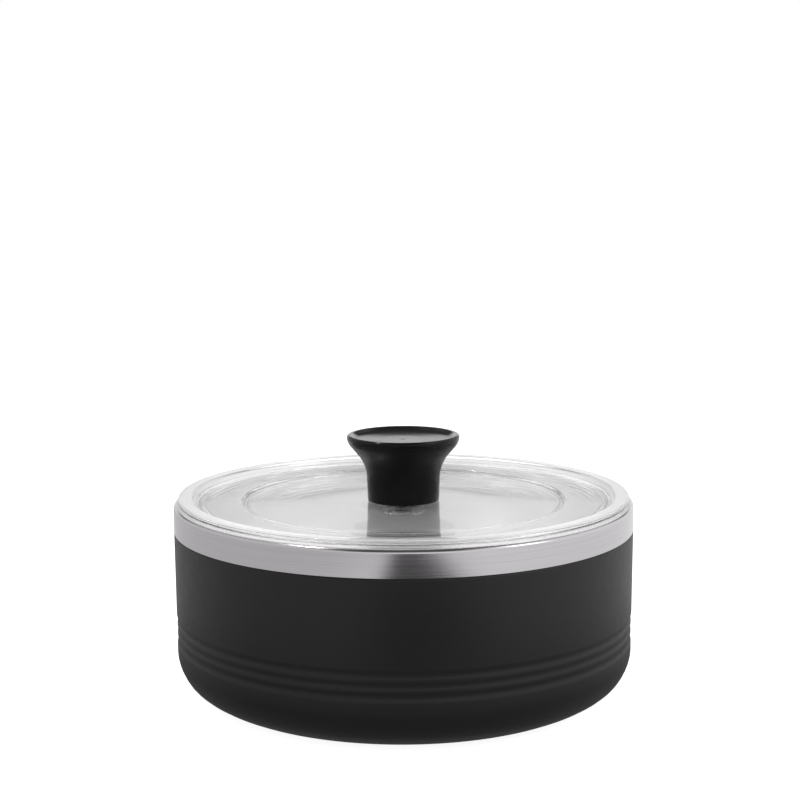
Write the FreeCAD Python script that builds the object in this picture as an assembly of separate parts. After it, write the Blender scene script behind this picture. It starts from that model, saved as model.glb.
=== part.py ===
import FreeCAD, Part

import os
from math import cos, radians, sin, tan

from FreeCAD import Vector

# Insulated serving casserole for flatbreads: a double-walled steel pot with foam
# between its walls, a brushed steel band round its mouth, and a clear lift-off lid
# with a black waisted knob. Everything is turned about Z. The origin is the centre
# of the ring that the pot stands on, and all sizes are millimetres.

# Outer shell, pressed steel, with its slopes in degrees
band_radius = 115.5
band_sheet = 0.4
seam_gap = 0.05
shell_sheet = 0.6
shell_draft = 0.5
joggle_drop = 0.3
joggle_slope = 45.0
joggle_inner_bend = 0.6
joggle_outer_bend = 0.9
groove_count = 3
groove_pitch = 4.95
groove_rise = 15.3
groove_slope = 16.0
groove_bend_share = 0.96
foot_slope = 45.0
foot_upper_bend = 19.5
foot_lower_bend = 27.0
foot_flat = 0.2
foot_width = 7.0
kick_up = 2.0
kick_slope = 6.0
kick_corner = 2.5

# Steel band round the mouth
rim_height = 96.4
band_height = 12.9
band_corner = 1.8
band_lap = 9.0

# Inner bowl, drawn steel
wall_width = 12.2
bowl_draft = 1.7
bowl_sheet = 0.6
bowl_corner = 15.0
bowl_mouth_corner = 1.6
foam_base = 11.0
flange_gap = 1.4

# Foam fill and the plug of its filling hole
foam_gap = 0.1
head_gap = 0.3
plug_hole_radius = 9.0
plug_gap = 0.15
plug_flange_width = 3.5
plug_flange = 1.4
plug_shank = 5.0
plug_wall = 1.6
plug_bead = 0.5
plug_bead_height = 1.8
plug_edge = 0.4

# Clear lid
lid_set_in = 2.3
lid_rim_height = 3.6
lid_rim_width = 6.6
lid_rim_draft = 1.2
lid_rim_edge = 0.8
lid_seat_edge = 0.3
lid_edge = 0.6
lid_inner_edge = 0.8
lid_wall = 2.5
lid_ledge_drop = 3.05
lid_ledge_width = 23.9
lid_step_draft = 0.6
lid_step_drop = 1.2
lid_step_edge = 0.4
lid_rib_width = 2.2
lid_rib_height = 3.2
lid_fit = 0.6
lid_skirt_wall = 2.0
lid_skirt_depth = 6.6
lid_skirt_draft = 0.4
boss_wall = 5.3
boss_roof = 3.4
lid_fillet = 0.8

# Fixing of the knob
screw_radius = 2.0
screw_gap = 0.2
screw_length = 18.0
head_overhang = 2.0
head_height = 2.6
head_edge = 0.8
slot_width = 1.0
slot_depth = 1.2
slot_margin = 1.6
washer_margin = 0.8
washer_thickness = 0.8
counterbore_gap = 0.4
head_sink = 0.2
insert_wall = 1.3
insert_length = 9.5
insert_sink = 1.0
insert_groove = 0.5
insert_groove_width = 2.0
thread_gap = 0.02

# Knob, moulded plastic
knob_height = 33.6
knob_foot_radius = 18.05
knob_waist_swell = 0.7
knob_lip_swell = 4.65
knob_flare_angle = 41.0
knob_flare_drop = 9.1
knob_flare_swell = 5.05
knob_hollow_curve = 16.5
knob_swell_curve = 6.5
knob_foot_edge = 0.9
knob_lip_edge = 1.3
knob_lip_width = 2.6
dish_edge = 0.5
dish_depth = 2.6
dish_slope_width = 11.25
dish_curve = 7.0
dish_wall_share = 0.7
gate_radius = 0.6
gate_depth = 0.5
core_wall = 3.0
core_roof = 14.6
core_draft = 0.5
core_corner = 1.5
post_wall = 3.3
core_rib_count = 6
core_rib_width = 1.6
core_rib_inset = 3.0

# Pot sizes that follow from those above
band_low = rim_height - band_height
shell_head_radius = band_radius - band_sheet - seam_gap
seam_low = band_low - joggle_drop - (band_sheet + seam_gap) / tan(radians(joggle_slope))
base_radius = band_radius - seam_low * tan(radians(shell_draft))
foot_bends = (foot_upper_bend + foot_lower_bend) * tan(radians(foot_slope / 2)) + foot_flat
foot_rise = foot_bends * sin(radians(foot_slope))
foot_run = foot_bends * cos(radians(foot_slope))
foot_outer = base_radius - foot_run - foot_lower_bend * tan(radians(foot_slope / 2))
foot_inner = foot_outer - foot_width
groove_low = foot_rise + groove_rise
bowl_radius = band_radius - wall_width
bowl_floor_radius = bowl_radius - bowl_draft
flange_radius = band_radius - band_sheet - flange_gap
bowl_rim_height = rim_height - band_sheet
shell_top = min(rim_height - band_corner, bowl_rim_height - bowl_sheet - head_gap)
bowl_floor = foam_base + kick_up + shell_sheet
plug_flange_radius = plug_hole_radius + plug_flange_width

# Fixing sizes that follow from the screw's
head_radius = screw_radius + head_overhang
slot_length = 2 * (head_radius - slot_margin)
washer_radius = head_radius + washer_margin
counterbore_depth = head_height + washer_thickness + head_sink
insert_radius = screw_radius + insert_wall
core_post_radius = insert_radius + post_wall

# Lid sizes that follow from the pot's mouth and the fixing
lid_radius = band_radius - lid_set_in
lid_seat = rim_height
lid_rim_top = lid_seat + lid_rim_height
lid_step_radius = lid_radius - lid_rim_width - lid_rim_draft - lid_ledge_width
lid_boss_radius = washer_radius + counterbore_gap + boss_wall
lid_boss_height = counterbore_depth + boss_roof
lid_ledge = lid_rim_top - lid_ledge_drop
lid_disc = lid_ledge - lid_step_drop
lid_disc_under = lid_disc - lid_wall
lid_plug_radius = bowl_radius - lid_fit
boss_bottom = lid_disc_under - lid_boss_height
counterbore_top = boss_bottom + counterbore_depth
head_seat = counterbore_top - washer_thickness
insert_bottom = lid_disc + insert_sink

# Knob sizes that follow from its foot and height
knob_top = lid_disc + knob_height
knob_waist_radius = knob_foot_radius + knob_waist_swell
knob_flare_radius = knob_waist_radius + knob_flare_swell
knob_flare_height = knob_height - knob_flare_drop
knob_lip_radius = knob_flare_radius + knob_lip_swell
core_depth = knob_height - core_roof

# Points nearer than this are one point
same_point = 1e-6


def rounded(corners, closed=False):
    """A wire in the XZ plane through (radius, height, corner radius) points, with tangent arcs."""
    spots = [Vector(r, 0, z) for r, z, bend in corners]
    bends = [bend for r, z, bend in corners]
    count = len(spots)
    arcs = {}
    starts = []
    ends = []
    for i, spot in enumerate(spots):
        if bends[i] == 0 or (not closed and i in (0, count - 1)):
            starts.append(spot)
            ends.append(spot)
            continue
        back = (spots[i - 1] - spot).normalize()
        ahead = (spots[(i + 1) % count] - spot).normalize()
        half = back.getAngle(ahead) / 2
        reach = bends[i] / tan(half)
        middle = (back + ahead).normalize()
        crown = spot + middle * (bends[i] / sin(half) - bends[i])
        starts.append(spot + back * reach)
        ends.append(spot + ahead * reach)
        arcs[i] = Part.Arc(starts[i], crown, ends[i]).toShape()
    path = []
    for i in range(count):
        if i in arcs:
            path.append(arcs[i])
        follow = (i + 1) % count
        if (closed or i < count - 1) and (starts[follow] - ends[i]).Length > same_point:
            path.append(Part.makeLine(ends[i], starts[follow]))
    return Part.Wire(path)


def pressed(path, thickness):
    """Sheet metal to the right of an open profile, as a face in the XZ plane."""
    return path.makeOffset2D(-thickness, 2, True, True, False)


def beside(path, distance):
    """An open profile moved to its right."""
    return path.makeOffset2D(-distance, 2, False, True, False)


def filled(path):
    """The face between an open profile and the axis."""
    start = path.OrderedVertexes[0].Point
    end = path.OrderedVertexes[-1].Point
    corners = [end, Vector(0, 0, end.z), Vector(0, 0, start.z), start]
    edges = list(path.Edges)
    for near, far in zip(corners, corners[1:]):
        if (far - near).Length > same_point:
            edges.append(Part.makeLine(near, far))
    return Part.Face(Part.Wire(Part.__sortEdges__(edges)))


def turned(section):
    """A solid of revolution about Z from a face in the XZ plane."""
    return section.revolve(Vector(0, 0, 0), Vector(0, 0, 1), 360)


def turned_outline(corners):
    """A solid of revolution from a closed outline of rounded corners."""
    return turned(Part.Face(rounded(corners, closed=True)))


def ring(inner, outer, low, high):
    """A plain tube or disc about Z."""
    body = Part.makeCylinder(outer, high - low, Vector(0, 0, low))
    if inner > 0:
        body = body.cut(Part.makeCylinder(inner, high - low, Vector(0, 0, low)))
    return body


def save(name, shape):
    """One STEP file per separate piece."""
    solids = shape.Solids
    if not shape.isValid() or not solids:
        raise ValueError("not a sound solid: " + name)
    shape = solids[0] if len(solids) == 1 else Part.makeCompound(solids)
    shape.exportStep("parts/" + name + ".step")
    print(name, "solids", len(solids), "volume", round(shape.Volume, 1))


def shell_wall(height):
    """Radius of the shell's drafted wall, which is flush with the band at the seam."""
    return band_radius - (seam_low - height) * tan(radians(shell_draft))


def shell_path(end):
    """Outside of the pressed shell from its head inside the band down to the foot, ending at radius end."""
    corners = [
        (shell_head_radius, shell_top, 0),
        (shell_head_radius, band_low - joggle_drop, joggle_inner_bend),
        (band_radius, seam_low, joggle_outer_bend),
    ]
    half_pitch = groove_pitch / 2
    groove_depth = half_pitch * tan(radians(groove_slope))
    groove_bend = groove_bend_share * half_pitch / 2 / sin(radians(groove_slope))
    for i in reversed(range(2 * groove_count + 1)):
        height = groove_low + (i - 1) * half_pitch
        depth = groove_depth * (i % 2)
        corners.append((shell_wall(height) - depth, height, groove_bend))
    corners += [
        (shell_wall(foot_rise), foot_rise, foot_upper_bend),
        (base_radius - foot_run, 0, foot_lower_bend),
        (foot_inner, 0, kick_corner),
        (foot_inner - kick_slope, kick_up, kick_corner),
        (end, kick_up, 0),
    ]
    return rounded(corners)


def outer_shell():
    """Grooved pressed shell with a rounded foot, a raised base panel and a hole for filling the foam."""
    return turned(pressed(shell_path(plug_hole_radius), shell_sheet))


def bowl_path():
    """Inside of the bowl from its axis over the floor, up the wall and out along the flange."""
    return rounded(
        [
            (0, bowl_floor, 0),
            (bowl_floor_radius, bowl_floor, bowl_corner),
            (bowl_radius, bowl_rim_height, bowl_mouth_corner),
            (flange_radius, bowl_rim_height, 0),
        ]
    )


def inner_bowl():
    """Drawn bowl that holds the bread, with a flat flange turned out over the insulation."""
    return turned(pressed(bowl_path(), bowl_sheet))


def rim_band():
    """Brushed collar: a lap on the bowl's flange, a rounded shoulder and a skirt over the shell's head."""
    path = rounded(
        [
            (band_radius - band_lap, rim_height, 0),
            (band_radius, rim_height, band_corner),
            (band_radius, band_low, 0),
        ]
    )
    return turned(pressed(path, band_sheet))


def insulation():
    """Foam that fills the space between the shell and the bowl."""
    outside = beside(shell_path(0), shell_sheet + foam_gap)
    pocket = beside(bowl_path(), bowl_sheet + foam_gap)
    return turned(filled(outside)).cut(turned(filled(pocket))).cut(plug_room())


def plug_room():
    """Space in the foam round the filling plug's shank."""
    radius = plug_hole_radius + plug_bead + foam_gap
    return ring(0, radius, 0, kick_up + shell_sheet + plug_shank + foam_gap)


def foam_plug():
    """Snap-in plug that closes the filling hole, with a flange below the base panel and a bead above it."""
    shank = plug_hole_radius - plug_gap
    seat = kick_up
    above = seat + shell_sheet + plug_gap
    head = seat + plug_shank
    outline = [
        (0, seat - plug_flange, 0),
        (plug_flange_radius, seat - plug_flange, plug_flange / 2),
        (plug_flange_radius, seat, 0),
        (shank, seat, 0),
        (shank, above, 0),
        (shank + plug_bead, above + plug_bead, 0),
        (shank, above + plug_bead + plug_bead_height, 0),
        (shank, head, plug_edge),
        (shank - plug_wall, head, plug_edge),
        (shank - plug_wall, seat, plug_edge),
        (0, seat, 0),
    ]
    return turned_outline(outline)


def lid_cover():
    """Clear moulded lid: thick rim, lower ledge, stepped disc, locating skirt, ring rib and boss."""
    rim_inner = lid_radius - lid_rim_width
    ledge_outer = rim_inner - lid_rim_draft
    ledge_under = lid_ledge - lid_wall
    skirt_bottom = lid_seat - lid_skirt_depth
    skirt_inner = lid_plug_radius - lid_skirt_wall
    rib_outer = lid_step_radius - lid_step_draft
    rib_inner = rib_outer - lid_rib_width
    rib_bottom = ledge_under - lid_rib_height
    outline = [
        (0, lid_disc, 0),
        (lid_step_radius - lid_step_draft, lid_disc, lid_step_edge),
        (lid_step_radius, lid_ledge, lid_step_edge),
        (ledge_outer, lid_ledge, lid_inner_edge),
        (rim_inner, lid_rim_top, lid_inner_edge),
        (lid_radius, lid_rim_top, lid_rim_edge),
        (lid_radius, lid_seat, lid_seat_edge),
        (lid_plug_radius, lid_seat, lid_seat_edge),
        (lid_plug_radius - lid_skirt_draft, skirt_bottom, lid_edge),
        (skirt_inner, skirt_bottom, lid_edge),
        (skirt_inner - lid_skirt_draft, ledge_under, lid_fillet),
        (rib_outer, ledge_under, lid_fillet),
        (rib_outer, rib_bottom, lid_edge),
        (rib_inner, rib_bottom, lid_edge),
        (rib_inner, lid_disc_under, lid_fillet),
        (lid_boss_radius, lid_disc_under, lid_fillet),
        (lid_boss_radius, boss_bottom, lid_edge),
        (0, boss_bottom, 0),
    ]
    body = turned_outline(outline)
    bore = ring(0, screw_radius + screw_gap, boss_bottom, lid_disc)
    recess = ring(0, washer_radius + counterbore_gap, boss_bottom, counterbore_top)
    return body.cut(bore).cut(recess)


def knob_outside():
    """Waisted outside of the knob with its dished top."""
    slope = tan(radians(knob_flare_angle))
    waist_break = knob_flare_height - (knob_flare_radius - knob_waist_radius) / slope
    lip_break = knob_flare_height + (knob_lip_radius - knob_flare_radius) / slope
    lip_inner = knob_lip_radius - knob_lip_width
    wall_foot = lip_inner - dish_depth
    floor = knob_top - dish_depth
    outline = [
        (0, lid_disc, 0),
        (knob_foot_radius, lid_disc, knob_foot_edge),
        (knob_waist_radius, lid_disc + waist_break, knob_hollow_curve),
        (knob_lip_radius, lid_disc + lip_break, knob_swell_curve),
        (knob_lip_radius, knob_top, knob_lip_edge),
        (lip_inner, knob_top, dish_edge),
        (wall_foot, knob_top - dish_depth * dish_wall_share, dish_curve / 2),
        (wall_foot - dish_slope_width, floor, dish_curve),
        (0, floor, 0),
    ]
    return turned_outline(outline)


def knob_core():
    """Hollow in the knob's underside between its outer wall and the post that holds the insert."""
    wide = knob_foot_radius - core_wall
    outline = [
        (core_post_radius, lid_disc, 0),
        (wide, lid_disc, 0),
        (wide - core_draft, lid_disc + core_depth, core_corner),
        (core_post_radius + core_draft, lid_disc + core_depth, core_corner),
    ]
    return turned_outline(outline)


def knob_ribs():
    """Ribs that tie the post to the knob's wall."""
    length = knob_foot_radius - core_wall / 2
    rib = Part.makeBox(
        length,
        core_rib_width,
        core_depth - core_rib_inset,
        Vector(0, -core_rib_width / 2, lid_disc + core_rib_inset),
    )
    ribs = []
    for i in range(core_rib_count):
        copy = rib.copy()
        copy.rotate(Vector(0, 0, 0), Vector(0, 0, 1), i * 360 / core_rib_count)
        ribs.append(copy)
    return ribs[0].fuse(ribs[1:])


def insert_blank():
    """Turned body of the threaded insert with its grip groove."""
    middle = insert_bottom + insert_length / 2
    body = ring(0, insert_radius, insert_bottom, insert_bottom + insert_length)
    groove = ring(
        insert_radius - insert_groove,
        insert_radius,
        middle - insert_groove_width / 2,
        middle + insert_groove_width / 2,
    )
    return body.cut(groove)


def knob():
    """Moulded knob: waisted body, cored underside with ribs, and a bore for insert and screw."""
    core = knob_core().cut(knob_ribs())
    body = knob_outside().cut(core)
    body = body.cut(insert_blank())
    screw_top = head_seat + screw_length
    body = body.cut(ring(0, screw_radius + screw_gap, lid_disc, screw_top + screw_gap))
    gate = ring(0, gate_radius, knob_top - dish_depth - gate_depth, knob_top)
    return body.cut(gate)


def knob_insert():
    """Brass insert moulded into the knob's post."""
    bore = ring(0, screw_radius + thread_gap, insert_bottom, insert_bottom + insert_length)
    return insert_blank().cut(bore)


def knob_screw():
    """Pan head screw that comes up through the lid into the knob."""
    low = head_seat - head_height
    head = turned_outline(
        [
            (0, low, 0),
            (head_radius, low, head_edge),
            (head_radius, head_seat, 0),
            (0, head_seat, 0),
        ]
    )
    shank = ring(0, screw_radius, head_seat, head_seat + screw_length)
    bars = []
    for turn in (0, 90):
        bar = Part.makeBox(
            slot_length,
            slot_width,
            slot_depth,
            Vector(-slot_length / 2, -slot_width / 2, low),
        )
        bar.rotate(Vector(0, 0, 0), Vector(0, 0, 1), turn)
        bars.append(bar)
    return head.fuse(shank).cut(bars[0].fuse(bars[1])).removeSplitter()


def screw_washer():
    """Soft washer between the screw's head and the lid."""
    return ring(screw_radius + screw_gap, washer_radius, head_seat, counterbore_top)


def main():
    os.makedirs("parts", exist_ok=True)
    save("outer_shell", outer_shell())
    save("inner_bowl", inner_bowl())
    save("rim_band", rim_band())
    save("insulation", insulation())
    save("foam_plug", foam_plug())
    save("lid_cover", lid_cover())
    save("knob", knob())
    save("knob_insert", knob_insert())
    save("knob_screw", knob_screw())
    save("screw_washer", screw_washer())


main()
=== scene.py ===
from math import ceil, pi, radians, sin, tan

import bmesh
import bpy
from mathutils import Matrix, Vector


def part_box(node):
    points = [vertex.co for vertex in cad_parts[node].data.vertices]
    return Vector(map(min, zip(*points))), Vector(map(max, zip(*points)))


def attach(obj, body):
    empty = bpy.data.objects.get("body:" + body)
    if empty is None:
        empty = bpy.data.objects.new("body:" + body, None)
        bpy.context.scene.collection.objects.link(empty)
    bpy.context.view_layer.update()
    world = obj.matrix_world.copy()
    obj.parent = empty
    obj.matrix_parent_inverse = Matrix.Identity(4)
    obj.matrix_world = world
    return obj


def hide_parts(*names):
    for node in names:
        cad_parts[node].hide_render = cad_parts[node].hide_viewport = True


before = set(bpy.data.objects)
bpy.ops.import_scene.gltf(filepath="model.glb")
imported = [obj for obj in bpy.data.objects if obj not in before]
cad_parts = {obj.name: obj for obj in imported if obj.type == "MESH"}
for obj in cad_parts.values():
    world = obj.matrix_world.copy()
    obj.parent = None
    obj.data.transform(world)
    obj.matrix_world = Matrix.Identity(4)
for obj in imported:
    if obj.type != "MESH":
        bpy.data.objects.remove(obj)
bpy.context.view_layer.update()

# An insulated serving casserole: black pressed shell, brushed band and bowl, clear
# lift-off lid with a black waisted knob. Metres, with Z up and the front at -Y.

mm = 0.001

# How finely the pieces are turned
turn_steps = 256
small_turn_steps = 96
bend_step = radians(8)
smooth_angle = radians(32)
same_point = 0.002 * mm

# Pot, from the frame's boxes and the gauges of its sheets
band_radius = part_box("rim_band")[1].x
band_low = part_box("rim_band")[0].z
band_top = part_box("rim_band")[1].z
band_sheet = 0.4 * mm
band_corner = 1.8 * mm
band_lap = 9 * mm
seam_gap = 0.05 * mm
shell_sheet = 0.6 * mm
shell_draft = radians(0.5)
shell_head = band_radius - band_sheet - seam_gap
shell_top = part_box("outer_shell")[1].z
joggle_drop = 0.3 * mm
joggle_high = band_low - joggle_drop
joggle_inner_bend = 0.6 * mm
joggle_outer_bend = 0.9 * mm
seam_low = joggle_high - band_sheet - seam_gap
base_radius = band_radius - seam_low * tan(shell_draft)
foot_upper_bend = 19.5 * mm
foot_lower_bend = 27 * mm
foot_flat = 0.2 * mm
foot_bends = (foot_upper_bend + foot_lower_bend) * tan(pi / 8) + foot_flat
foot_rise = foot_bends * sin(pi / 4)
foot_outer = base_radius - foot_rise - foot_lower_bend * tan(pi / 8)
foot_width = 7 * mm
foot_inner = foot_outer - foot_width
groove_count = 3
groove_pitch = 4.95 * mm
groove_rise = 15.3 * mm
groove_low = foot_rise + groove_rise
groove_slope = radians(16)
groove_bend_share = 0.96
kick_up = 2 * mm
kick_slope = 6 * mm
kick_corner = 2.5 * mm
fill_hole = 9 * mm
bowl_sheet = 0.6 * mm
wall_width = 12.2 * mm
bowl_radius = band_radius - wall_width
bowl_draft = 1.7 * mm
bowl_floor_radius = bowl_radius - bowl_draft
bowl_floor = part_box("inner_bowl")[0].z + bowl_sheet
bowl_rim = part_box("inner_bowl")[1].z
bowl_corner = 15 * mm
bowl_mouth = 1.6 * mm
flange_gap = 1.4 * mm
flange_radius = band_radius - band_sheet - flange_gap

# Filling plug
plug_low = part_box("foam_plug")[0].z
plug_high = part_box("foam_plug")[1].z
plug_flange_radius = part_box("foam_plug")[1].x
plug_gap = 0.15 * mm
plug_shank = fill_hole - plug_gap
plug_wall = 1.6 * mm
plug_bead = 0.5 * mm
plug_bead_rise = 0.75 * mm
plug_bead_low = kick_up + plug_bead_rise
plug_bead_height = 1.8 * mm
plug_edge = 0.4 * mm

# Clear lid
lid_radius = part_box("lid_cover")[1].x
lid_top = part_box("lid_cover")[1].z
boss_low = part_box("lid_cover")[0].z
lid_seat = band_top
lid_rim = 6.6 * mm
lid_rim_draft = 1.2 * mm
lid_rim_edge = 0.8 * mm
lid_seat_edge = 0.3 * mm
lid_edge = 0.6 * mm
lid_inner_edge = 0.8 * mm
lid_wall = 2.5 * mm
lid_ledge_drop = 3.05 * mm
lid_ledge = lid_top - lid_ledge_drop
lid_ledge_width = 23.9 * mm
lid_step_radius = lid_radius - lid_rim - lid_rim_draft - lid_ledge_width
lid_step_draft = 0.6 * mm
lid_step_edge = 0.4 * mm
lid_fillet = 0.8 * mm
lid_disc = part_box("knob")[0].z
lid_rib_width = 2.2 * mm
lid_rib_height = 3.2 * mm
lid_fit = 0.6 * mm
skirt_radius = bowl_radius - lid_fit
skirt_wall = 2 * mm
skirt_depth = 6.6 * mm
skirt_draft = 0.4 * mm
boss_radius = 10.5 * mm
bore_radius = 2.2 * mm
counterbore_radius = 5.2 * mm
counterbore_depth = 3.6 * mm
counterbore_top = boss_low + counterbore_depth

# Knob
knob_low = lid_disc
knob_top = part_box("knob")[1].z
knob_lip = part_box("knob")[1].x
knob_foot = 18.05 * mm
knob_waist = 18.75 * mm
knob_flare = 23.8 * mm
knob_flare_height = 24.5 * mm
knob_flare_angle = radians(41)
knob_hollow_bend = 16.5 * mm
knob_swell_bend = 6.5 * mm
knob_foot_edge = 0.9 * mm
knob_lip_edge = 1.3 * mm
knob_lip_width = 2.6 * mm
dish_edge = 0.5 * mm
dish_depth = 2.6 * mm
dish_slope = 11.25 * mm
dish_bend = 7 * mm
dish_wall_share = 0.7
gate_radius = 0.6 * mm
gate_depth = 0.5 * mm
core_wall = 3 * mm
core_depth = 19 * mm
core_draft = 0.5 * mm
core_corner = 1.5 * mm
post_radius = 6.6 * mm
core_rib_count = 6
core_rib_width = 1.6 * mm
core_rib_inset = 3 * mm

# Fixing
screw_radius = 2 * mm
screw_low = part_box("knob_screw")[0].z
screw_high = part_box("knob_screw")[1].z
head_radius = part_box("knob_screw")[1].x
head_height = 2.6 * mm
head_edge = 0.8 * mm
cross_width = 1 * mm
cross_length = 4.8 * mm
cross_depth = 1.2 * mm
washer_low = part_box("screw_washer")[0].z
washer_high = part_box("screw_washer")[1].z
washer_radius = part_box("screw_washer")[1].x
washer_edge = 0.15 * mm
insert_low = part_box("knob_insert")[0].z
insert_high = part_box("knob_insert")[1].z
insert_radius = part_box("knob_insert")[1].x

# Colours of the finishes: a pair for dark and light marks, or the tint between them
coat_dark = (0.0025, 0.0022, 0.0028, 1)
coat_light = (0.0095, 0.0082, 0.01, 1)
band_tint = (0.6, 0.578, 0.6)
bowl_tint = (0.975, 0.97, 0.975)
foam_dark = (0.7, 0.6, 0.36, 1)
foam_light = (0.88, 0.8, 0.56, 1)
brass_dark = (0.6, 0.42, 0.18, 1)
brass_light = (0.82, 0.63, 0.32, 1)

# Light and background, where 1 is white. The arch, front, left, sky and zenith of the
# world are bounded in a direction's x, y or z, from -1 to 1.
ambient = 0.6
arch_level = 0.1
arch_half_width = 0.3
arch_soft = 0.3
front_full = -0.45
front_end = 0.3
left_level = 0.7
left_full = -0.8
left_end = 0.1
low_sky = 0.225
high_sky = 0.3
low_front_sky = 0.45
high_front_sky = 0.65
zenith_start = 0.84
zenith_full = 0.94
zenith_level = 0.15

# Floor, in metres from the pot's axis; reflections see it glow, with a painted shadow near the pot
# and a painted dark strip in front
floor_width = 40
floor_white = 0.8
floor_glow = 0.9
painted_floor_level = 0.9
floor_left = -0.3
floor_near = 0.13
floor_far = 0.3
painted_shadow_level = 0.3
shade_middle = 0.05
shade_start = -0.2
shade_half_width = 0.095
shade_soft = 0.05
shade_depth = 0.95

# Lamps, with their place, width and watts, and the point that they face
lamps = {
    "top_lamp": ((-0.56, 0.354, 1.5), 0.12, 4.0),
    "right_lamp": ((1.11, -0.5, 0.95), 0.5, 2.0),
}
lamp_target = Vector((0, 0, 0.06))

# Camera at the photograph's viewing angle, with its lens and sensor in millimetres
camera_place = Vector((-1.49, -831.8, 263.7)) * mm
camera_pitch = radians(8.01)
camera_roll = radians(-0.315)
camera_lens = 75.26
camera_sensor = 36

# Bounces, enough for light that passes the clear lid and meets the bowl under it
all_bounces = 32
mirror_bounces = 16
clear_bounces = 24


# Shaping


def begin(piece=None):
    """Selects the piece or nothing, so that the next operator leaves all else alone."""
    bpy.ops.object.select_all(action="DESELECT")
    if piece:
        piece.select_set(True)
        bpy.context.view_layer.objects.active = piece


def pick(piece, test):
    """Selects the points of the piece in edit mode that pass the test."""
    shape = bmesh.from_edit_mesh(piece.data)
    for point in shape.verts:
        point.select_set(test(point.co))
    shape.select_flush_mode()
    bmesh.update_edit_mesh(piece.data)


def at(radius, height):
    """A test for the profile's point at one radius and height."""
    place = Vector((radius, 0, height))
    return lambda co: (co - place).length < same_point


def bend_corner(piece, before, corner, after):
    """Rounds one corner of a profile with tangent ends."""
    spot = Vector(corner[:2])
    back = (Vector(before[:2]) - spot).normalized()
    ahead = (Vector(after[:2]) - spot).normalized()
    inside = back.angle(ahead)
    pick(piece, at(corner[0], corner[1]))
    bpy.ops.mesh.bevel(
        affect="VERTICES",
        offset_type="OFFSET",
        offset=corner[2] / tan(inside / 2),
        segments=max(2, ceil((pi - inside) / bend_step)),
        profile=0.5,
        clamp_overlap=False,
    )


def drawn(name, corners, closed):
    """A profile in the XZ plane through (radius, height, bend) corners, drawn from one point."""
    begin()
    bpy.ops.mesh.primitive_plane_add(size=mm)
    piece = bpy.context.object
    piece.name = name
    piece.data.name = name
    bpy.ops.object.mode_set(mode="EDIT")
    bpy.ops.mesh.select_all(action="SELECT")
    bpy.ops.mesh.merge(type="CENTER")
    bpy.ops.transform.translate(value=(corners[0][0], 0, corners[0][1]))
    for here, there in zip(corners, corners[1:]):
        step = (there[0] - here[0], 0, there[1] - here[1])
        bpy.ops.mesh.extrude_region_move(TRANSFORM_OT_translate={"value": step})
    if closed:
        first = at(corners[0][0], corners[0][1])
        last = at(corners[-1][0], corners[-1][1])
        pick(piece, lambda co: first(co) or last(co))
        bpy.ops.mesh.edge_face_add()
    for i, corner in enumerate(corners):
        if corner[2] > 0:
            bend_corner(piece, corners[i - 1], corner, corners[(i + 1) % len(corners)])
    return piece


def spun(piece, steps):
    """Turns the profile in edit mode once round Z and welds its start to its end."""
    bpy.ops.mesh.select_all(action="SELECT")
    bpy.ops.mesh.spin(steps=steps, angle=2 * pi, center=(0, 0, 0), axis=(0, 0, 1))
    bpy.ops.mesh.select_all(action="SELECT")
    bpy.ops.mesh.remove_doubles(threshold=same_point)
    bpy.ops.mesh.normals_make_consistent(inside=False)
    bpy.ops.object.mode_set(mode="OBJECT")
    return piece


def smoothed(piece):
    """Smooth shading except at real edges."""
    begin(piece)
    bpy.ops.object.shade_smooth_by_angle(angle=smooth_angle)
    return piece


def finished_by(piece, kind, **settings):
    """Adds one modifier and applies it."""
    begin(piece)
    modifier = piece.modifiers.new(kind.title(), kind)
    for key, value in settings.items():
        setattr(modifier, key, value)
    bpy.ops.object.modifier_apply(modifier=modifier.name)
    return piece


def turned(name, corners, steps=turn_steps):
    """A solid piece turned from a closed outline."""
    return smoothed(spun(drawn(name, corners, closed=True), steps))


def sheet(name, corners, gauge, inward):
    """Sheet metal turned from one skin and given its gauge."""
    skin = spun(drawn(name, corners, closed=False), turn_steps)
    walled = finished_by(skin, "SOLIDIFY", thickness=gauge, offset=-1 if inward else 1)
    return smoothed(walled)


def block(size, middle, turn=0):
    """A cutting or joining block, placed and turned in its mesh."""
    begin()
    bpy.ops.mesh.primitive_cube_add(size=1, location=middle)
    piece = bpy.context.object
    piece.scale = size
    bpy.ops.object.transform_apply(location=True, rotation=False, scale=True)
    piece.rotation_euler.z = turn
    bpy.ops.object.transform_apply(location=False, rotation=True, scale=False)
    return piece


def combined(piece, others, operation):
    """Joins blocks to a piece or cuts them out of it."""
    for other in others:
        finished_by(piece, "BOOLEAN", object=other, operation=operation, solver="EXACT")
        bpy.data.objects.remove(other)
    return smoothed(piece)


# Pieces


def shell_wall(height):
    """Radius of the drafted wall, which is flush with the band at the seam."""
    return band_radius - (seam_low - height) * tan(shell_draft)


def make_shell():
    corners = [
        (shell_head, shell_top, 0),
        (shell_head, joggle_high, joggle_inner_bend),
        (band_radius, seam_low, joggle_outer_bend),
    ]
    half_pitch = groove_pitch / 2
    groove_depth = half_pitch * tan(groove_slope)
    groove_bend = groove_bend_share * half_pitch / 2 / sin(groove_slope)
    for i in reversed(range(2 * groove_count + 1)):
        height = groove_low + (i - 1) * half_pitch
        depth = groove_depth * (i % 2)
        corners.append((shell_wall(height) - depth, height, groove_bend))
    corners += [
        (shell_wall(foot_rise), foot_rise, foot_upper_bend),
        (base_radius - foot_rise, 0, foot_lower_bend),
        (foot_inner, 0, kick_corner),
        (foot_inner - kick_slope, kick_up, kick_corner),
        (fill_hole, kick_up, 0),
    ]
    return sheet("pot_shell", corners, shell_sheet, inward=True)


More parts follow.
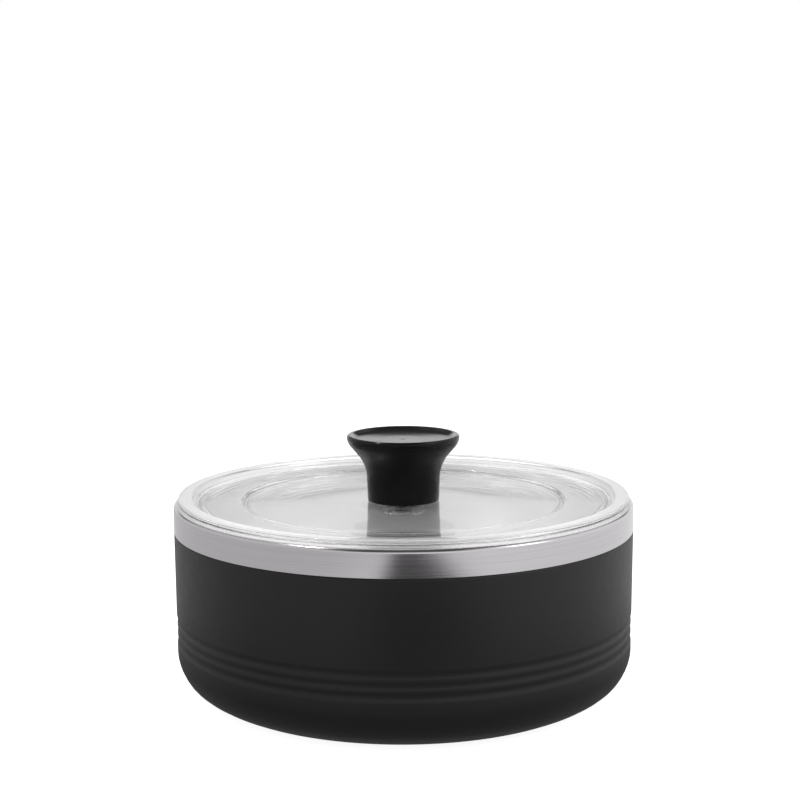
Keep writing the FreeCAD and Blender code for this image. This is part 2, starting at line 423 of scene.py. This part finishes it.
def make_band():
    corners = [
        (band_radius - band_lap, band_top, 0),
        (band_radius, band_top, band_corner),
        (band_radius, band_low, 0),
    ]
    return sheet("pot_band", corners, band_sheet, inward=True)


def make_bowl():
    """Turned from its inner skin, whose sheet lies outside it."""
    corners = [
        (0, bowl_floor, 0),
        (bowl_floor_radius, bowl_floor, bowl_corner),
        (bowl_radius, bowl_rim, bowl_mouth),
        (flange_radius, bowl_rim, 0),
    ]
    return sheet("pot_bowl", corners, bowl_sheet, inward=False)


def make_plug():
    corners = [
        (0, plug_low, 0),
        (plug_flange_radius, plug_low, (kick_up - plug_low) / 2),
        (plug_flange_radius, kick_up, 0),
        (plug_shank, kick_up, 0),
        (plug_shank, plug_bead_low, 0),
        (plug_shank + plug_bead, plug_bead_low + plug_bead, 0),
        (plug_shank, plug_bead_low + plug_bead + plug_bead_height, 0),
        (plug_shank, plug_high, plug_edge),
        (plug_shank - plug_wall, plug_high, plug_edge),
        (plug_shank - plug_wall, kick_up, plug_edge),
        (0, kick_up, 0),
    ]
    return turned("pot_plug", corners, small_turn_steps)


def make_lid():
    rim_inner = lid_radius - lid_rim
    ledge_outer = rim_inner - lid_rim_draft
    ledge_under = lid_ledge - lid_wall
    disc_under = lid_disc - lid_wall
    rib_outer = lid_step_radius - lid_step_draft
    rib_inner = rib_outer - lid_rib_width
    rib_low = ledge_under - lid_rib_height
    skirt_low = lid_seat - skirt_depth
    skirt_inner = skirt_radius - skirt_wall
    corners = [
        (bore_radius, lid_disc, 0),
        (rib_outer, lid_disc, lid_step_edge),
        (lid_step_radius, lid_ledge, lid_step_edge),
        (ledge_outer, lid_ledge, lid_inner_edge),
        (rim_inner, lid_top, lid_inner_edge),
        (lid_radius, lid_top, lid_rim_edge),
        (lid_radius, lid_seat, lid_seat_edge),
        (skirt_radius, lid_seat, lid_seat_edge),
        (skirt_radius - skirt_draft, skirt_low, lid_edge),
        (skirt_inner, skirt_low, lid_edge),
        (skirt_inner - skirt_draft, ledge_under, lid_fillet),
        (rib_outer, ledge_under, lid_fillet),
        (rib_outer, rib_low, lid_edge),
        (rib_inner, rib_low, lid_edge),
        (rib_inner, disc_under, lid_fillet),
        (boss_radius, disc_under, lid_fillet),
        (boss_radius, boss_low, lid_edge),
        (counterbore_radius, boss_low, 0),
        (counterbore_radius, counterbore_top, 0),
        (bore_radius, counterbore_top, 0),
    ]
    return turned("lid_clear", corners)


def make_knob():
    slope = tan(knob_flare_angle)
    waist_break = knob_low + knob_flare_height - (knob_flare - knob_waist) / slope
    lip_break = knob_low + knob_flare_height + (knob_lip - knob_flare) / slope
    lip_inner = knob_lip - knob_lip_width
    dish_wall_foot = lip_inner - dish_depth
    dish_floor = knob_top - dish_depth
    core_wide = knob_foot - core_wall
    core_top = knob_low + core_depth
    bore_top = screw_high + bore_radius - screw_radius
    corners = [
        (0, bore_top, 0),
        (bore_radius, bore_top, 0),
        (bore_radius, insert_high, 0),
        (insert_radius, insert_high, 0),
        (insert_radius, insert_low, 0),
        (bore_radius, insert_low, 0),
        (bore_radius, knob_low, 0),
        (post_radius, knob_low, 0),
        (post_radius + core_draft, core_top, core_corner),
        (core_wide - core_draft, core_top, core_corner),
        (core_wide, knob_low, 0),
        (knob_foot, knob_low, knob_foot_edge),
        (knob_waist, waist_break, knob_hollow_bend),
        (knob_lip, lip_break, knob_swell_bend),
        (knob_lip, knob_top, knob_lip_edge),
        (lip_inner, knob_top, dish_edge),
        (dish_wall_foot, knob_top - dish_depth * dish_wall_share, dish_bend / 2),
        (dish_wall_foot - dish_slope, dish_floor, dish_bend),
        (gate_radius, dish_floor, 0),
        (gate_radius, dish_floor - gate_depth, 0),
        (0, dish_floor - gate_depth, 0),
    ]
    body = turned("lid_knob", corners)
    rib_length = core_wide - post_radius + core_wall / 2
    rib_height = core_depth - core_rib_inset
    rib_middle = Vector(
        ((core_wide + post_radius) / 2, 0, knob_low + core_rib_inset + rib_height / 2)
    )
    ribs = []
    for i in range(core_rib_count):
        size = (rib_length, core_rib_width, rib_height)
        ribs.append(block(size, rib_middle, i * 2 * pi / core_rib_count))
    return combined(body, ribs, "UNION")


def make_screw():
    head_top = screw_low + head_height
    corners = [
        (0, screw_low, 0),
        (head_radius, screw_low, head_edge),
        (head_radius, head_top, 0),
        (screw_radius, head_top, 0),
        (screw_radius, screw_high, 0),
        (0, screw_high, 0),
    ]
    body = turned("lid_screw", corners, small_turn_steps)
    size = (cross_length, cross_width, 2 * cross_depth)
    bars = [block(size, (0, 0, screw_low), turn) for turn in (0, pi / 2)]
    return combined(body, bars, "DIFFERENCE")


def make_washer():
    corners = [
        (bore_radius, washer_low, washer_edge),
        (washer_radius, washer_low, washer_edge),
        (washer_radius, washer_high, washer_edge),
        (bore_radius, washer_high, washer_edge),
    ]
    return turned("lid_washer", corners, small_turn_steps)


# Finishes


class Value:
    """A socket of a finish's nodes, on which Python arithmetic adds Math nodes."""

    def __init__(self, finish, socket):
        self.finish = finish
        self.socket = socket

    def maths(self, operation, *values):
        return self.finish.node("ShaderNodeMath", {"operation": operation}, *values)

    def __add__(self, other):
        return self.maths("ADD", self, other)

    def __sub__(self, other):
        return self.maths("SUBTRACT", self, other)

    def __rsub__(self, other):
        return self.maths("SUBTRACT", other, self)

    def __mul__(self, other):
        return self.maths("MULTIPLY", self, other)

    def __abs__(self):
        return self.maths("ABSOLUTE", self)

    def root(self):
        return self.maths("SQRT", self)

    def most(self, other):
        return self.maths("MAXIMUM", self, other)

    __radd__ = __add__
    __rmul__ = __mul__


class Finish:
    """The nodes of one material or of the world."""

    def __init__(self, owner):
        owner.use_nodes = True
        self.owner = owner
        self.tree = owner.node_tree
        self.tree.nodes.clear()

    def made(self, kind, settings=None, *values, **named):
        """Adds a node with its settings, then fills its inputs in order or by name."""
        node = self.tree.nodes.new(kind)
        for key, setting in (settings or {}).items():
            if key == "stops":
                self.set_stops(node, setting)
            else:
                setattr(node, key, setting)
        for place, value in [*enumerate(values), *named.items()]:
            key = place if isinstance(place, int) else place.replace("_", " ")
            if isinstance(value, Value):
                self.tree.links.new(value.socket, node.inputs[key])
            else:
                node.inputs[key].default_value = value
        return node

    def node(self, kind, settings=None, *values, output=0, **named):
        """Adds a node in the same way and gives one of its outputs."""
        return Value(self, self.made(kind, settings, *values, **named).outputs[output])

    def set_stops(self, ramp, stops):
        elements = ramp.color_ramp.elements
        while len(elements) < len(stops):
            elements.new(1)
        for element, (place, colour) in zip(elements, stops):
            element.position = place
            element.color = colour

    def place(self, kind="Object"):
        """The piece's own coordinates, or the world's direction."""
        return self.node("ShaderNodeTexCoord", output=kind)

    def axes(self, kind="Object"):
        """The x, y and z of the same."""
        split = self.made("ShaderNodeSeparateXYZ", None, self.place(kind))
        return [Value(self, axis) for axis in split.outputs]

    def radius(self, x, y):
        return (x * x + y * y).root()

    def noise(self, scale, detail=2.0, roughness=0.5, spot=None):
        """Noise with this many grains a metre, unless it is given its own spot."""
        spot = spot or self.place()
        return self.node(
            "ShaderNodeTexNoise", None, Vector=spot, Scale=scale, Detail=detail, Roughness=roughness
        )

    def rings(self, along, across, detail=2.0, roughness=0.5):
        """Noise drawn out round the pot's axis, with this many grains a metre each way."""
        x, y, z = self.axes()
        reach = (self.radius(x, y) + z) * across
        spot = self.node("ShaderNodeCombineXYZ", None, x * along, y * along, reach)
        return self.noise(1.0, detail, roughness, spot)

    def eased(self, value, start, end, low, high):
        """Runs smoothly from low at start to high at end."""
        settings = {"interpolation_type": "SMOOTHSTEP"}
        return self.node("ShaderNodeMapRange", settings, value, start, end, low, high)

    def shade(self, value, low, high):
        """A colour between two, by a value from 0 to 1."""
        return self.node("ShaderNodeValToRGB", {"stops": [(0, low), (1, high)]}, value)

    def bump(self, height, depth):
        return self.node("ShaderNodeBump", None, Height=height, Distance=depth, Strength=1.0)

    def principled(self, **inputs):
        return self.node("ShaderNodeBsdfPrincipled", None, **inputs)

    def diffuse(self, colour):
        return self.node("ShaderNodeBsdfDiffuse", None, colour)

    def glow(self, strength):
        return self.node("ShaderNodeEmission", None, grey(1), strength)

    def mixed(self, share, first, second):
        """The first shader where the share is 0, and the second where it is 1."""
        return self.node("ShaderNodeMixShader", None, share, first, second)

    def surface(self, shader):
        """Ends the nodes in the shader, and gives the material or the world."""
        world = isinstance(self.owner, bpy.types.World)
        kind = "ShaderNodeOutputWorld" if world else "ShaderNodeOutputMaterial"
        self.made(kind, Surface=shader)
        return self.owner


def finish_named(name):
    return Finish(bpy.data.materials.new(name))


def grey(level):
    return (level, level, level, 1)


def powder_coat():
    """Near-black satin powder coat with its fine orange peel and grain."""
    f = finish_named("powder_coat")
    grain = f.noise(1500.0, detail=3.0, roughness=0.6)
    peel = f.noise(260.0)
    cloud = f.noise(14.0)
    return f.surface(
        f.principled(
            Base_Color=f.shade(grain * 0.6 + cloud * 0.4, coat_dark, coat_light),
            Roughness=0.36 + 0.1 * peel + 0.08 * grain,
            Specular_IOR_Level=0.4,
            Normal=f.bump(grain * 0.7 + peel * 0.3, 0.06 * mm),
        )
    )


def brushed_steel(name, tint, contrast, streaks, roughness):
    """Steel brushed round the pot, with streaks along the wall and rings on the flat."""
    f = finish_named(name)
    fine = f.rings(14, streaks, detail=3.0, roughness=0.6)
    broad = f.rings(9, streaks / 4)
    marks = fine * 0.65 + broad * 0.35
    low = tuple(c * (1 - contrast) for c in tint) + (1,)
    high = tuple(min(1.0, c * (1 + contrast)) for c in tint) + (1,)
    return f.surface(
        f.principled(
            Base_Color=f.shade(marks, low, high),
            Metallic=1.0,
            Roughness=roughness + 0.1 * marks,
            Anisotropic=0.5,
            Anisotropic_Rotation=0.25,
            Normal=f.bump(fine, 0.01 * mm),
        )
    )


def clear_plastic():
    """Clear moulded plastic with a faint flow in its surface."""
    f = finish_named("clear_plastic")
    flow = f.noise(35.0, detail=1.0)
    return f.surface(
        f.principled(
            Base_Color=f.shade(flow, grey(0.985), grey(1.0)),
            Roughness=0.01 + 0.02 * flow,
            IOR=1.5,
            Transmission_Weight=1.0,
            Normal=f.bump(flow, 0.08 * mm),
        )
    )


def mould_marks(f, grains):
    """The fine texture of a mould, and soft clouds for the colour."""
    return f.noise(grains, detail=3.0, roughness=0.6), f.noise(40.0)


def moulded_plastic(name, low, high, grains, depth):
    """Opaque moulded plastic with the fine texture of its mould."""
    f = finish_named(name)
    skin, cloud = mould_marks(f, grains)
    return f.surface(
        f.principled(
            Base_Color=f.shade(cloud, low, high),
            Roughness=0.5 + 0.2 * skin,
            Normal=f.bump(skin, depth),
        )
    )


def knob_plastic():
    """Black moulded plastic in copies: darker and weakly reflecting outside as painted shade,
    lighter and strongly reflecting in the dish as painted sheen, non-reflecting in the gate mark as
    painted shade.
    """
    f = finish_named("knob_plastic")
    x, y, z = f.axes()
    reach = f.radius(x, y)
    skin, cloud = mould_marks(f, 3000.0)
    # A darker copy that reflects little, outside: painted shade
    shaded_outside = f.principled(
        Base_Color=f.shade(cloud, grey(0.0015), grey(0.003)),
        Roughness=0.13 + 0.06 * skin,
        Specular_IOR_Level=0.18,
        Normal=f.bump(skin, 0.003 * mm),
    )
    # A lighter copy that reflects strongly, in the dish: painted sheen
    sheen_dish = f.principled(
        Base_Color=f.shade(cloud, grey(0.004), grey(0.008)),
        Roughness=0.11 + 0.06 * skin,
        Specular_IOR_Level=1.0,
        Normal=f.bump(skin, 0.006 * mm),
    )
    # A non-reflecting copy in the gate mark: painted shade in the pinhole
    shaded_gate = f.diffuse(f.shade(cloud, grey(0.001), grey(0.003)))
    dish_floor = knob_top - dish_depth
    upper = f.eased(z, dish_floor - knob_lip_edge, dish_floor, 0.0, 1.0)
    inside = f.eased(reach, knob_lip - knob_lip_edge, knob_lip, 1.0, 0.0)
    gate = f.eased(reach, gate_radius, 2 * gate_radius, 1.0, 0.0)
    return f.surface(f.mixed(gate, f.mixed(upper * inside, shaded_outside, sheen_dish), shaded_gate))


def turned_metal(name, low, high):
    """Small machined metal with turning marks round its axis."""
    f = finish_named(name)
    marks = f.rings(30, 6000)
    return f.surface(
        f.principled(
            Base_Color=f.shade(marks, low, high),
            Metallic=1.0,
            Roughness=0.2 + 0.15 * marks,
            Normal=f.bump(marks, 0.006 * mm),
        )
    )


def rigid_foam():
    """Cream rigid foam with small open cells."""
    f = finish_named("foam")
    cells = f.node("ShaderNodeTexVoronoi", None, Vector=f.place(), Scale=900.0)
    return f.surface(
        f.principled(
            Base_Color=f.shade(cells, foam_dark, foam_light),
            Roughness=0.8 + 0.15 * cells,
            Normal=f.bump(cells, 0.2 * mm),
        )
    )


# Studio


def placed(name, data, place):
    """A lamp or a camera, linked to the scene at its place."""
    spot = bpy.data.objects.new(name, data)
    bpy.context.scene.collection.objects.link(spot)
    spot.location = place
    return spot


def place_camera():
    view = bpy.data.cameras.new("camera")
    view.lens = camera_lens
    view.sensor_width = camera_sensor
    spot = placed("camera", view, camera_place)
    spot.rotation_euler = (pi / 2 - camera_pitch, 0, 0)
    spot.rotation_euler.rotate_axis("Z", camera_roll)
    bpy.context.scene.camera = spot


def place_lamp(name, place, width, watts):
    """A soft square lamp that faces the pot."""
    light = bpy.data.lights.new(name, "AREA")
    light.size = width
    light.energy = watts
    spot = placed(name, light, place)
    spot.rotation_euler = (lamp_target - spot.location).to_track_quat("-Z", "Y").to_euler()


def ray_kinds(f):
    """Three values: 1 for rays of the eye, for rays through clear pieces, and for reflections."""
    rays = f.made("ShaderNodeLightPath").outputs
    camera = Value(f, rays["Is Camera Ray"])
    through = Value(f, rays["Is Transmission Ray"]) * (1 - camera)
    reflected = Value(f, rays["Is Glossy Ray"]) * (1 - camera.most(through))
    return camera, through, reflected


def light_world():
    """White to the eye. Reflections find a dark arch overhead and a dimmer left side, and
    rays through the lid a dark zenith."""
    f = Finish(bpy.data.worlds.new("studio"))
    camera, through, reflected = ray_kinds(f)
    x, y, z = f.axes("Generated")
    arch = f.eased(abs(x), arch_half_width, arch_half_width + arch_soft, 1.0, 0.0)
    behind = f.eased(y, front_full, front_end, 0.0, 1.0)
    above_back = f.eased(z, low_sky, high_sky, 0.0, 1.0)
    above_front = f.eased(z, low_front_sky, high_front_sky, 0.0, 1.0)
    above = behind * above_back + (1 - behind) * above_front
    left = f.eased(x, left_full, left_end, left_level, 1.0)
    studio = left * (1 - (1 - arch_level) * arch * above)
    overhead = f.eased(z, zenith_start, zenith_full, 1.0, zenith_level)
    plain = ambient * (1 - camera - through - reflected)
    strength = camera + through * overhead + reflected * studio + plain
    background = f.node("ShaderNodeBackground", None, grey(1), strength)
    bpy.context.scene.world = f.surface(background)


def floor_finish():
    """White floor that keeps the pot's shadow. Reflections see a glow of painted light and shade:
    a painted shadow near the pot, painted shade at the left and a painted dark strip in front."""
    f = finish_named("floor")
    camera, through, reflected = ray_kinds(f)
    x, y, z = f.axes()
    # A soft dark strip in front, painted into reflections of the floor
    across = f.eased(
        abs(x - shade_middle), shade_half_width, shade_half_width + shade_soft, 1.0, 0.0
    )
    ahead = f.eased(y, shade_start - shade_soft, shade_start, 1.0, 0.0)
    # Painted shade at the left, seen only in reflections
    left = f.eased(x, floor_left, 0.0, left_level, 1.0)
    # A painted shadow of the pot, seen only in reflections
    near = f.eased(f.radius(x, y), floor_near, floor_far, painted_shadow_level, 1.0)
    # What reflections see of the floor is this glow of painted light and shade
    painted_reflection = f.glow(painted_floor_level * left * near * (1 - shade_depth * across * ahead))
    glow = f.glow(floor_glow * camera.most(through))
    seen = f.node("ShaderNodeAddShader", None, f.diffuse(grey(floor_white)), glow)
    return f.surface(f.mixed(reflected, seen, painted_reflection))


def make_floor():
    begin()
    bpy.ops.mesh.primitive_plane_add(size=floor_width)
    floor = bpy.context.object
    floor.name = "floor"
    floor.data.materials.append(floor_finish())


# Assembly


def dress(piece, finish):
    piece.data.materials.clear()
    piece.data.materials.append(finish)


def build():
    finishes = {
        "powder_coat": powder_coat(),
        "band_steel": brushed_steel(
            "band_steel", band_tint, contrast=0.15, streaks=4200.0, roughness=0.14
        ),
        "bowl_steel": brushed_steel(
            "bowl_steel", bowl_tint, contrast=0.03, streaks=3600.0, roughness=0.26
        ),
        "foam": rigid_foam(),
        "plug_plastic": moulded_plastic(
            "plug_plastic", grey(0.02), grey(0.035), grains=2500.0, depth=0.04 * mm
        ),
        "clear_plastic": clear_plastic(),
        "knob_plastic": knob_plastic(),
        "insert_brass": turned_metal("insert_brass", brass_dark, brass_light),
        "screw_steel": turned_metal("screw_steel", grey(0.6), grey(0.8)),
        "washer_rubber": moulded_plastic(
            "washer_rubber", grey(0.7), grey(0.8), grains=1800.0, depth=0.03 * mm
        ),
    }
    pieces = [
        (make_shell(), "outer_shell", "pot", "powder_coat"),
        (make_band(), "rim_band", "pot", "band_steel"),
        (make_bowl(), "inner_bowl", "pot", "bowl_steel"),
        (make_plug(), "foam_plug", "pot", "plug_plastic"),
        (make_lid(), "lid_cover", "lid", "clear_plastic"),
        (make_knob(), "knob", "lid", "knob_plastic"),
        (make_screw(), "knob_screw", "lid", "screw_steel"),
        (make_washer(), "screw_washer", "lid", "washer_rubber"),
    ]
    for piece, node, body, slot in pieces:
        dress(piece, finishes[slot])
        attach(piece, body)
        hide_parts(node)
    dress(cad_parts["insulation"], finishes["foam"])
    dress(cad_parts["knob_insert"], finishes["insert_brass"])


build()
make_floor()
light_world()
for name, settings in lamps.items():
    place_lamp(name, *settings)
place_camera()

scene = bpy.context.scene
scene.view_settings.view_transform = "Standard"
scene.cycles.max_bounces = all_bounces
scene.cycles.glossy_bounces = mirror_bounces
scene.cycles.transmission_bounces = clear_bounces
